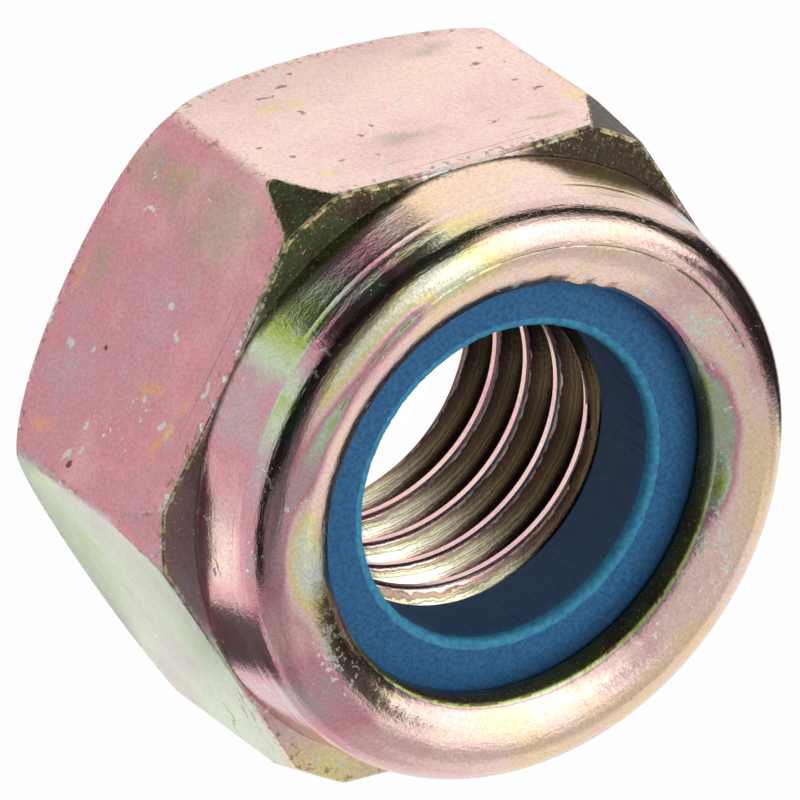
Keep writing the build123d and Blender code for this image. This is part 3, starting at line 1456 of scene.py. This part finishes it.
@dataclass(frozen=True)
class Mark:
    """A small mark on one flat, or on the collar.

    Attributes:
        flat: Number of the flat, counted round from +X, with a fraction for a place between two flats.
        along: Place along the flat, from its middle, in millimetres.
        height: Height above the bearing face.
        length: Half length.
        width: Half width.
        tilt: Turn of its length from level, in degrees.
        radius: Distance of the marked surface from the axis.
    """

    flat: float
    along: float
    height: float
    length: float = 0.16
    width: float = 0.09
    tilt: float = 0.0
    radius: float = 8.5

    @property
    def fine(self) -> bool:
        """Whether the mark is a thin line, which keeps its straight borders."""
        return self.width < 0.05

    @property
    def rotation(self) -> Place:
        """Turn of the mark's own frame, with X out of the flat and Y along the mark."""
        return math.radians(self.tilt), 0, math.radians(60 * self.flat + 30)

    def fit(self) -> tuple[Place, Place]:
        """Fits a ball of radius 1 to the mark, in the mark's own frame.

        Returns:
            The stretch and the offset that bring a place into the ball's frame.
        """
        tilt = math.radians(self.tilt)
        size = Vector((0.6, self.length, self.width))
        along = self.along * math.cos(tilt) + self.height * math.sin(tilt)
        up = self.height * math.cos(tilt) - self.along * math.sin(tilt)
        centre = Vector((self.radius, along, up))
        return tuple(1 / side for side in size), tuple(-spot / side for spot, side in zip(centre, size))


# Along, height, length, width and, where they are needed, tilt and radius of each mark, by tint and flat
MARKS: dict[Tint, dict[float, tuple[tuple[float, ...], ...]]] = {
    Tint.CLOUD: {
        0: (
            (-3.84, 5.44, 0.9, 0.8), (-3.13, 2.99, 1.0, 0.9), (-3.72, 6.6, 0.5, 0.9),
            (-0.51, 1.55, 1.2, 0.7), (-3.2, 5.2, 2.2, 2.6), (-2.6, 4.6, 1.1, 1.0), (-3.4, 1.8, 1.3, 1.2),
        ),
        5: ((-2.73, 1.77, 1.3, 0.5), (0.6, 6.0, 1.6, 0.5)),
    },
    Tint.LIME: {
        0: ((-3.9, 3.3, 0.5, 0.6), (-3.55, 2.7, 0.9, 0.3), (-3.6, 0.8, 0.5, 0.4)),
        5: ((-3.2, 6.9, 0.8, 0.25),),
    },
    Tint.ORANGE: {
        0: (
            (-0.08, 0.84, 0.9, 0.25), (1.39, 5.55, 0.35, 0.9, 20), (1.24, 7.15, 0.9, 0.22, 10),
            (3.8, 1.92, 0.4, 0.7), (2.6, 6.7, 0.8, 0.3),
        ),
        5: ((3.31, 1.53, 0.3, 0.12),),
    },
    Tint.YELLOW: {
        5: (
            (2.69, 2.68, 0.7, 0.35), (1.92, 2.83, 0.5, 0.3), (-5.0, 4.77, 0.5, 1.3),
            (-4.53, 6.06, 0.5, 0.8), (3.4, 6.9, 0.9, 0.3),
        ),
        0: ((2.2, 7.0, 0.35, 0.3),),
    },
    Tint.LINE: {
        0: ((0.0, 7.52, 3.2, 0.03, -2), (-1.6, 7.2, 1.1, 0.02, 3)),
        5: ((-0.6, 7.68, 3.4, 0.028, 1.5), (-2.1, 7.35, 0.9, 0.025, 6), (1.6, 7.2, 1.4, 0.018, -4)),
    },
    Tint.OLIVE: {
        5: (
            (1.21, 1.07, 0.2, 0.1), (1.82, 1.58, 0.22, 0.12), (2.38, 2.05, 0.18, 0.1),
            (1.97, 3.28, 0.14, 0.16), (0.91, 4.99, 0.16, 0.1), (1.55, 5.33, 0.2, 0.1),
            (4.19, 4.54, 0.16, 0.14), (3.57, 5.41, 0.14, 0.1), (2.71, 6.3, 0.16, 0.1),
            (1.85, 6.65, 0.12, 0.08), (-4.04, 2.4, 0.1, 0.14), (-3.31, 3.19, 0.12, 0.1),
            (-3.97, 3.55, 0.1, 0.12), (-3.66, 4.67, 0.12, 0.1), (-4.06, 5.34, 0.14, 0.1),
            (-2.02, 6.38, 0.12, 0.1),
        ),
        1: ((2.2, 7.0, 1.35, 0.07, -17), (3.7, 5.1, 1.2, 0.07, -16), (1.5, 7.55, 2.6, 0.05, -8)),
    },
    Tint.PURPLE: {
        0.55: ((0, 9.15, 0.42, 0.07, 20, 8.31),),
        0.575: ((0, 8.95, 0.22, 0.06, -35, 8.34),),
    },
    Tint.DARK: {
        0: ((1.25, 3.22, 0.12, 0.1), (4.41, 3.87, 0.14, 0.12)),
        1: ((4.21, 0.98, 0.2, 0.08), (4.79, 2.4, 0.2, 0.08)),
    },
    Tint.SILVER: {
        0: (
            (1.73, 1.54, 0.12, 0.22), (1.47, 2.76, 0.14, 0.16), (-0.73, 4.96, 0.1, 0.16),
            (-0.19, 5.61, 0.12, 0.18), (1.71, 5.45, 0.1, 0.14), (0.64, 7.55, 0.3, 0.1),
            (2.03, 6.61, 0.16, 0.14), (3.27, 3.73, 0.16, 0.12), (3.9, 3.98, 0.18, 0.12),
            (4.13, 3.58, 0.12, 0.1),
        ),
        5: ((2.13, 7.48, 0.14, 0.08), (4.39, 3.11, 0.14, 0.1), (-0.5, 3.97, 0.5, 0.025, 30)),
    },
}


def build_mark_group() -> bpy.types.NodeTree:
    """Builds the group that lays the small marks over a colour.

    Returns:
        The node group, with inputs Place and Colour, and output Colour.
    """
    inputs = {"Place": None, "Colour": (0.8, 0.8, 0.8, 1)}
    graph, entry, leave = new_group("flat_marks", inputs, "Colour", "Color")
    frayed = entry["Place"]
    for scale, reach in ((0.9, 1.1), (5, 0.3)):
        inputs = {"Vector": entry["Place"], "Scale": scale, "Detail": 3}
        wander = graph.node("ShaderNodeTexNoise", inputs).outputs["Color"]
        centred = graph.vector("SUBTRACT", wander, (0.5, 0.5, 0.5))
        frayed = graph.vector("MULTIPLY_ADD", centred, (reach, reach, reach), frayed)
    colour = entry["Colour"]
    faced: dict[tuple[Place, bool], bpy.types.NodeSocket] = {}
    for tint, flats in MARKS.items():
        nearest = None
        for mark in [Mark(flat, *row) for flat, rows in flats.items() for row in rows]:
            key = (mark.rotation, mark.fine)
            if key not in faced:
                inputs = {"Vector": entry["Place"] if mark.fine else frayed, "Rotation": mark.rotation}
                faced[key] = graph.node("ShaderNodeMapping", inputs, vector_type="TEXTURE").outputs[0]
            apart = graph.vector("LENGTH", graph.vector("MULTIPLY_ADD", faced[key], *mark.fit()))
            nearest = apart if nearest is None else graph.math("MINIMUM", nearest, apart)
        *shade, softness, cover = tint.value
        mask = graph.times(graph.step(nearest, 1.0, 1.0 - softness), cover)
        colour = graph.mix(mask, colour, (*shade, 1))
    graph.feed(leave, colour)
    return graph.tree


@dataclass(frozen=True)
class PlatedSteel:
    """Yellow-passivated zinc on steel.

    Attributes:
        zinc: Colour of the bare zinc in chips and on worn edges.
        gold: Colour of the thin film on the very edge of the scale.
        grime: Colour of the grime beside the edges.
        wear_width: Width of the worn band on the edges, in millimetres.
        grain_depth: Depth of the fine grain in metres.
        dullness: Share of the dark scale that is dull and not metallic.
    """

    zinc: Shade = (0.82, 0.85, 0.80)
    gold: Shade = (0.72, 0.58, 0.30)
    grime: Shade = (0.28, 0.20, 0.09)
    wear_width: float = 0.10
    grain_depth: float = 0.0000048
    dullness: float = 0.6

    def build(self, groups: dict[str, bpy.types.NodeTree]) -> bpy.types.Material:
        """Builds the material.

        Args:
            groups: The shared node groups by name.

        Returns:
            The finished material.
        """
        material, graph = new_material("passivated_zinc")
        place = graph.place()
        gap = graph.read("gap")
        scale = graph.read("scale")
        groove = graph.read("groove")
        turned = graph.read("turned")
        lathe = self.lathe(graph, place)
        film, drift = graph.read("film"), graph.read("drift")
        inputs = {"Place": place, "Lathe": lathe, "Film": film, "Drift": drift, "Turned": turned}
        # The film's colours include painted reflections and highlights on the collar, and painted shade on
        # the lip's crease and inner edge.
        colour = graph.group(groups["film"], inputs)
        colour = graph.group(groups["marks"], {"Place": place, "Colour": colour})
        # The dark scale colour covers the cut corners and, as painted shade, the lip's inner edge.
        colour = graph.mix(scale, colour, graph.group(groups["scale"], {"Place": place}))
        inputs = {"Place": place, "Groove": groove, "Light": graph.read("light")}
        tapped = graph.step(groove, 0.0005, 0.003)
        # The thread's colours hold painted shade in the grooves and painted light on the bore's light side.
        colour = graph.mix(tapped, colour, graph.group(groups["thread"], inputs))
        worn = graph.group(groups["wear"], {"Place": place, "Gap": gap, "Width": self.wear_width})
        broken = graph.step(graph.noise(graph.shift(place, (7, 7, 2)), 4.5, 3, 0.6), 0.42, 0.58)
        rim = graph.times(graph.step(gap, 0.04, 0.015), graph.times(broken, scale))
        colour = graph.mix(rim, colour, (*self.gold, 1))
        grime = graph.step(graph.noise(graph.shift(place, (2, 5, 8)), 5.5, 3, 0.6), 0.56, 0.62)
        grime = graph.times(grime, graph.step(gap, 0.42, 0.10))
        colour = graph.mix(graph.times(grime, 0.7), colour, (*self.grime, 1))
        chipped = graph.group(groups["chips"], {"Place": place, "Cover": graph.read("cover")})
        bare = graph.math("MAXIMUM", worn, chipped)
        spared = graph.math("MAXIMUM", tapped, graph.times(scale, 0.7))
        bare = graph.times(bare, graph.minus(1, spared))
        colour = graph.mix(bare, colour, (*self.zinc, 1))
        grain = graph.noise(place, 11, 3, 0.65)
        tone = graph.plus(0.62, graph.times(grain, 0.74))
        colour = graph.mix(1.0, colour, graph.grey(tone), "MULTIPLY")
        coarse = graph.noise(graph.shift(place, (4, 2, 6)), 3.2, 3, 0.5)
        ridges = graph.noise(graph.shift(lathe, (3, 5, 1), (2, 2, 3)), 1.0, 3, 0.6)
        height = graph.plus(grain, graph.times(coarse, 0.9))
        height = graph.math("MULTIPLY_ADD", graph.times(turned, 1.8), ridges, height)
        height = graph.minus(height, graph.times(bare, 0.5))
        height = graph.times(height, graph.plus(1, graph.times(scale, 2.5)))
        roughness = graph.plus(graph.read("rough"), graph.times(bare, 0.12))
        metal = graph.minus(1, graph.times(scale, self.dullness))
        normal = graph.bump(height, self.grain_depth)
        inputs = {"Base Color": colour, "Roughness": roughness, "Normal": normal, "Metallic": metal}
        shader = graph.node("ShaderNodeBsdfPrincipled", inputs)
        graph.node("ShaderNodeOutputMaterial", {"Surface": shader.outputs[0]})
        return material

    @staticmethod
    def lathe(graph: Graph, place: bpy.types.NodeSocket) -> bpy.types.NodeSocket:
        """Gives a place whose noise runs in streaks round the axis, without a seam.

        Args:
            graph: The material's graph.
            place: Place in millimetres.

        Returns:
            The streaked place.
        """
        flat = graph.vector("MULTIPLY", place, (1, 1, 0))
        way = graph.vector("NORMALIZE", flat)
        radius = graph.vector("LENGTH", flat)
        height = graph.node("ShaderNodeSeparateXYZ", {0: place}).outputs["Z"]
        across = graph.times(graph.minus(height, radius), 2.6)
        level = graph.node("ShaderNodeCombineXYZ", {"Z": across}).outputs[0]
        return graph.vector("MULTIPLY_ADD", way, (6, 6, 0), level)


@dataclass(frozen=True)
class Nylon:
    """Matt blue nylon with a pale cut rim, which is partly a painted glow of light through the translucent
    edge, and with painted shade in the bore and beside the lip.

    Attributes:
        navy: Colour of the painted shade in the bore and beside the lip.
        blue: Main colour.
        deep: Colour of its darker mottles.
        rim: Colour of the cut rim, partly a painted glow of light through the rounded translucent edge.
        grain_depth: Depth of the fine grain in metres.
    """

    navy: Shade = (0.012, 0.035, 0.085)
    blue: Shade = (0.040, 0.175, 0.37)
    deep: Shade = (0.016, 0.085, 0.23)
    rim: Shade = (0.06, 0.38, 0.56)
    grain_depth: float = 0.000004

    def build(self) -> bpy.types.Material:
        """Builds the material."""
        material, graph = new_material("blue_nylon")
        place = graph.place()
        mottle = graph.noise(place, 10, 3, 0.65)
        colour = graph.mix(graph.step(mottle, 0.25, 0.7), (*self.deep, 1), (*self.blue, 1))
        glint = graph.step(graph.noise(graph.shift(place, (4, 1, 3)), 9, 2, 0.7), 0.68, 0.74)
        colour = graph.mix(graph.times(glint, 0.4), colour, (*self.rim, 1))
        # The pale band along the cut rim is partly a painted glow of light through the translucent edge.
        frayed = graph.minus(graph.noise(place, 6, 3), 0.5)
        edge = graph.plus(graph.read("rim"), graph.times(frayed, 0.5))
        colour = graph.mix(graph.step(edge, 0.75, 1.2), colour, (*self.rim, 1))
        # Painted shade: navy in the bore and beside the lip.
        colour = graph.mix(graph.read("lip_and_bore_shade"), colour, (*self.navy, 1))
        normal = graph.bump(graph.noise(place, 16, 3, 0.6), self.grain_depth)
        inputs = {"Base Color": colour, "Normal": normal, "Roughness": 0.5, "Specular IOR Level": 0.2}
        shader = graph.node("ShaderNodeBsdfPrincipled", inputs)
        graph.node("ShaderNodeOutputMaterial", {"Surface": shader.outputs[0]})
        return material


# Stage


def elevations(low: float, high: float, distance: float = 250) -> Stops:
    """Gives an upright outline, at one distance from the nut, between two elevations.

    Args:
        low: Lower elevation in degrees.
        high: Upper elevation in degrees.
        distance: Distance from the nut in millimetres.

    Returns:
        Distance from the axis and height of the outline's points, in millimetres.
    """
    rises = [math.radians(low + (high - low) * step / 4) for step in range(5)]
    return tuple((distance * math.cos(rise), distance * math.sin(rise)) for rise in rises)


def direction(azimuth: float, elevation: float) -> Vector:
    """Gives the unit vector that points from the nut in one direction.

    Args:
        azimuth: Direction round the nut, in degrees from +X.
        elevation: Height above the floor, in degrees.

    Returns:
        The vector.
    """
    turn, rise = math.radians(azimuth), math.radians(elevation)
    return Vector((math.cos(turn) * math.cos(rise), math.sin(turn) * math.cos(rise), math.sin(rise)))


@dataclass(frozen=True)
class Card:
    """A curved card that only the metal's reflections see.

    Attributes:
        name: Name of the card.
        azimuth: First and last direction round the nut, in degrees from +X.
        outline: Distance and height of its outline's points, in millimetres.
        level: Brightness of the card.
    """

    name: str
    azimuth: tuple[float, float]
    outline: Stops
    level: float

    def build(self) -> bpy.types.Object:
        """Spins the card's sheet and gives it its plain brightness."""
        card = draw_outline(self.name, list(self.outline))
        spin_outline(card, steps=24, angle=self.azimuth[1] - self.azimuth[0])
        card.data.transform(Matrix.Rotation(math.radians(self.azimuth[0]), 4, "Z"))
        settle(card)
        material, graph = new_material(self.name)
        glow = graph.node("ShaderNodeEmission", {"Color": (self.level, self.level, self.level, 1)})
        graph.node("ShaderNodeOutputMaterial", {"Surface": glow.outputs[0]})
        card.data.materials.append(material)
        card.visible_camera = False
        card.visible_diffuse = False
        card.visible_shadow = False
        return card


@dataclass(frozen=True)
class Lamp:
    """A soft square lamp that faces the nut.

    Attributes:
        name: Name of the lamp.
        azimuth: Direction round the nut, in degrees from +X.
        elevation: Height above the floor, in degrees.
        distance: Distance from the nut in metres.
        size: Side of the square in metres.
        radiance: Brightness of its surface, where 1 is white.
    """

    name: str
    azimuth: float
    elevation: float
    distance: float
    size: float
    radiance: float

    def build(self) -> bpy.types.Object:
        """Adds the lamp and turns it to the nut."""
        light = bpy.data.lights.new(self.name, "AREA")
        light.size = self.size
        light.energy = self.radiance * math.pi * self.size**2
        lamp = bpy.data.objects.new(self.name, light)
        bpy.context.scene.collection.objects.link(lamp)
        way = direction(self.azimuth, self.elevation)
        lamp.location = way * self.distance
        lamp.rotation_euler = way.to_track_quat("Z", "Y").to_euler()
        lamp.visible_glossy = False
        return lamp


@dataclass(frozen=True)
class Camera:
    """The camera at the photograph's angle, far off and nearly without perspective.

    Attributes:
        azimuth: Direction round the nut, in degrees from +X.
        elevation: Height above the floor, in degrees.
        roll: Turn round the line of sight, in degrees.
        distance: Distance from the aim in millimetres.
        aim: Point in the middle of the picture, in millimetres.
        focal_pixels: Focal length in pixels of the picture.
    """

    azimuth: float = 16.825
    elevation: float = 50.058
    roll: float = 125.13
    distance: float = 467.44
    aim: Place = (-2.078, -0.801, 1.858)
    focal_pixels: float = 17726

    def build(self) -> bpy.types.Object:
        """Adds the camera and makes it the scene's own."""
        lens = bpy.data.cameras.new("camera")
        lens.sensor_width = 36
        lens.lens = self.focal_pixels * lens.sensor_width / PHOTO_WIDTH
        lens.clip_start = 0.01
        lens.clip_end = 10
        camera = bpy.data.objects.new("camera", lens)
        bpy.context.scene.collection.objects.link(camera)
        back = direction(self.azimuth, self.elevation)
        level = back.to_track_quat("Z", "Y").to_matrix().to_4x4()
        rolled = level @ Matrix.Rotation(math.radians(self.roll), 4, "Z")
        camera.matrix_world = Matrix.Translation((Vector(self.aim) + back * self.distance) * MM) @ rolled
        bpy.context.scene.camera = camera
        return camera


@dataclass
class Stage:
    """Floor, world, lamps and cards round the nut.

    Attributes:
        floor_size: Side of the floor in metres.
        floor_glow: Share of plain white in the floor where the camera sees it.
        floor_mirror: Share of plain white in the floor where the metal mirrors it.
        ambient: Brightness of the world as a light.
        surround: Brightness of the world where the metal mirrors it.
        bore_glow: Radius of the patch of floor under the bore that glows full white for every ray, a painted
            light that fills the nut's shadow there, in millimetres.
        cards: The cards.
        lamps: The lamps.
    """

    floor_size: float = 4.0
    floor_glow: float = 0.975
    floor_mirror: float = 0.68
    ambient: float = 0.35
    surround: float = 0.6
    bore_glow: float = 5.4
    cards: tuple[Card, ...] = (
        Card("dark_low", (-143, 92), elevations(0.3, 22), 0.01),
        Card("dark_camera", (-45, 62), elevations(22, 42), 0.02),
        Card("dim_camera", (-18, 92), elevations(42, 62), 0.2),
        Card("dim_left", (62, 96), elevations(22, 42), 0.28),
        Card("left", (96, 128), elevations(0.3, 60), 0.42),
        Card("far_left", (128, 160), elevations(0.3, 60), 0.62),
        Card("dark_back", (-145, -121), elevations(22, 44), 0.03),
        Card("bright_back", (-146, -121), elevations(48, 74), 1.2),
        Card("bright_above", (-121, -90), elevations(27, 74), 1.4),
        Card("bright_side", (-90, -52), elevations(36, 74), 1.7),
        Card("bright_edge", (-52, -18), elevations(48, 74), 0.9),
        Card("bright_right", (160, 208), elevations(0.3, 34), 0.85),
        Card("grey_back", (196, 200), elevations(34, 42), 0.3),
        Card("floor_top_flat", (-78, -8), ((9.9, 0.2), (22, 0.2)), 1.02),
        Card("floor_low_flat", (72, 142), ((9.4, 0.2), (21, 0.2)), 1.08),
        Card("dark_floor_left", (96, 117), ((12.3, 0.3), (60, 0.3)), 0.10),
        Card("dark_floor_far", (-143, -104), ((24, 0.3), (249, 0.3)), 0.02),
        Card("dark_floor_near", (-30, 16), ((20, 0.3), (249, 0.3)), 0.04),
    )
    lamps: tuple[Lamp, ...] = (
        Lamp("key", 228, 40, 0.30, 0.14, 4.0),
        Lamp("overhead", -60, 68, 0.32, 0.24, 1.6),
    )

    def build(self) -> None:
        """Builds the whole stage."""
        for lamp in self.lamps:
            lamp.build()
        for card in self.cards:
            card.build()
        self.build_floor()
        self.build_world()

    def build_floor(self) -> None:
        """Lays the white floor. It stays white in the picture's background and keeps the nut's shadow,
        except under the bore, where a painted glow fills it.
        """
        bpy.ops.object.select_all(action="DESELECT")
        bpy.ops.mesh.primitive_plane_add(size=self.floor_size, location=(0, 0, -0.02 * MM))
        floor = bpy.context.object
        floor.name = "floor"
        material, graph = new_material("white_floor")
        seen, mirrored = self.rays(graph)
        share = graph.times(seen, self.floor_glow)
        share = graph.math("ADD", share, graph.times(mirrored, self.floor_mirror), clamp=True)
        apart = graph.vector("LENGTH", graph.node("ShaderNodeTexCoord").outputs["Object"])
        # Painted light: under the bore the floor glows full white for every ray, whatever shadow falls
        # there.
        bore_glow_patch = graph.step(apart, self.bore_glow * MM, 0.8 * self.bore_glow * MM)
        share = graph.math("MAXIMUM", share, bore_glow_patch)
        glow = graph.node("ShaderNodeEmission")
        cloth = graph.node("ShaderNodeBsdfDiffuse", {"Color": (0.86, 0.86, 0.86, 1)})
        both = graph.node("ShaderNodeMixShader", {0: share, 1: cloth.outputs[0], 2: glow.outputs[0]})
        graph.node("ShaderNodeOutputMaterial", {"Surface": both.outputs[0]})
        floor.data.materials.append(material)

    def build_world(self) -> None:
        """Makes the world white where it is seen, greyer where it is mirrored, and dimmer as a light."""
        world = bpy.data.worlds.new("studio")
        bpy.context.scene.world = world
        world.use_nodes = True
        graph = Graph(world.node_tree)
        seen, mirrored = self.rays(graph)
        strength = graph.plus(self.ambient, graph.times(seen, 1 - self.ambient))
        more = graph.times(mirrored, self.surround - self.ambient)
        strength = graph.plus(strength, more)
        sky = graph.node("ShaderNodeBackground", {"Color": (1, 1, 1, 1), "Strength": strength})
        graph.node("ShaderNodeOutputWorld", {"Surface": sky.outputs[0]})

    @staticmethod
    def rays(graph: Graph) -> tuple[bpy.types.NodeSocket, bpy.types.NodeSocket]:
        """Tells the rays that see a surface straight from those that the metal mirrors.

        Args:
            graph: Graph of the material or of the world.

        Returns:
            1 for rays from the camera, and 1 for mirrored rays.
        """
        path = graph.node("ShaderNodeLightPath")
        seen = graph.math("MAXIMUM", path.outputs["Is Camera Ray"], path.outputs["Is Transmission Ray"])
        return seen, path.outputs["Is Glossy Ray"]


def report(piece: bpy.types.Object) -> None:
    """Logs the size of a finished piece."""
    piece.data.calc_loop_triangles()
    places = vertex_places(piece) / MM
    low, high = places.min(axis=0).round(3), places.max(axis=0).round(3)
    log.info("%s: %d triangles, %s to %s mm", piece.name, len(piece.data.loop_triangles), low, high)


def main() -> None:
    """Builds the pieces in order, dresses them and sets the stage."""
    logging.basicConfig(level=logging.INFO, format="%(message)s")
    low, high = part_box("nut_body")
    sizes = NutSizes(flat_radius=(high.y - low.y) / 2 / MM, height=(high.z - low.z) / MM)
    groups = {
        "film": build_film_group(),
        "wear": build_wear_group(),
        "chips": build_chip_group(),
        "scale": build_scale_group(),
        "thread": build_thread_group(),
        "marks": build_mark_group(),
    }

    body = NutBody(sizes).build()
    body.data.materials.append(PlatedSteel().build(groups))
    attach(body, "root")
    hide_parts("nut_body")
    report(body)

    ring = NylonRing(sizes).build()
    ring.data.materials.append(Nylon().build())
    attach(ring, "root")
    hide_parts("nylon_insert")
    report(ring)

    Stage().build()
    Camera().build()
    bpy.context.scene.view_settings.view_transform = "Standard"


if __name__ == "__main__":
    main()
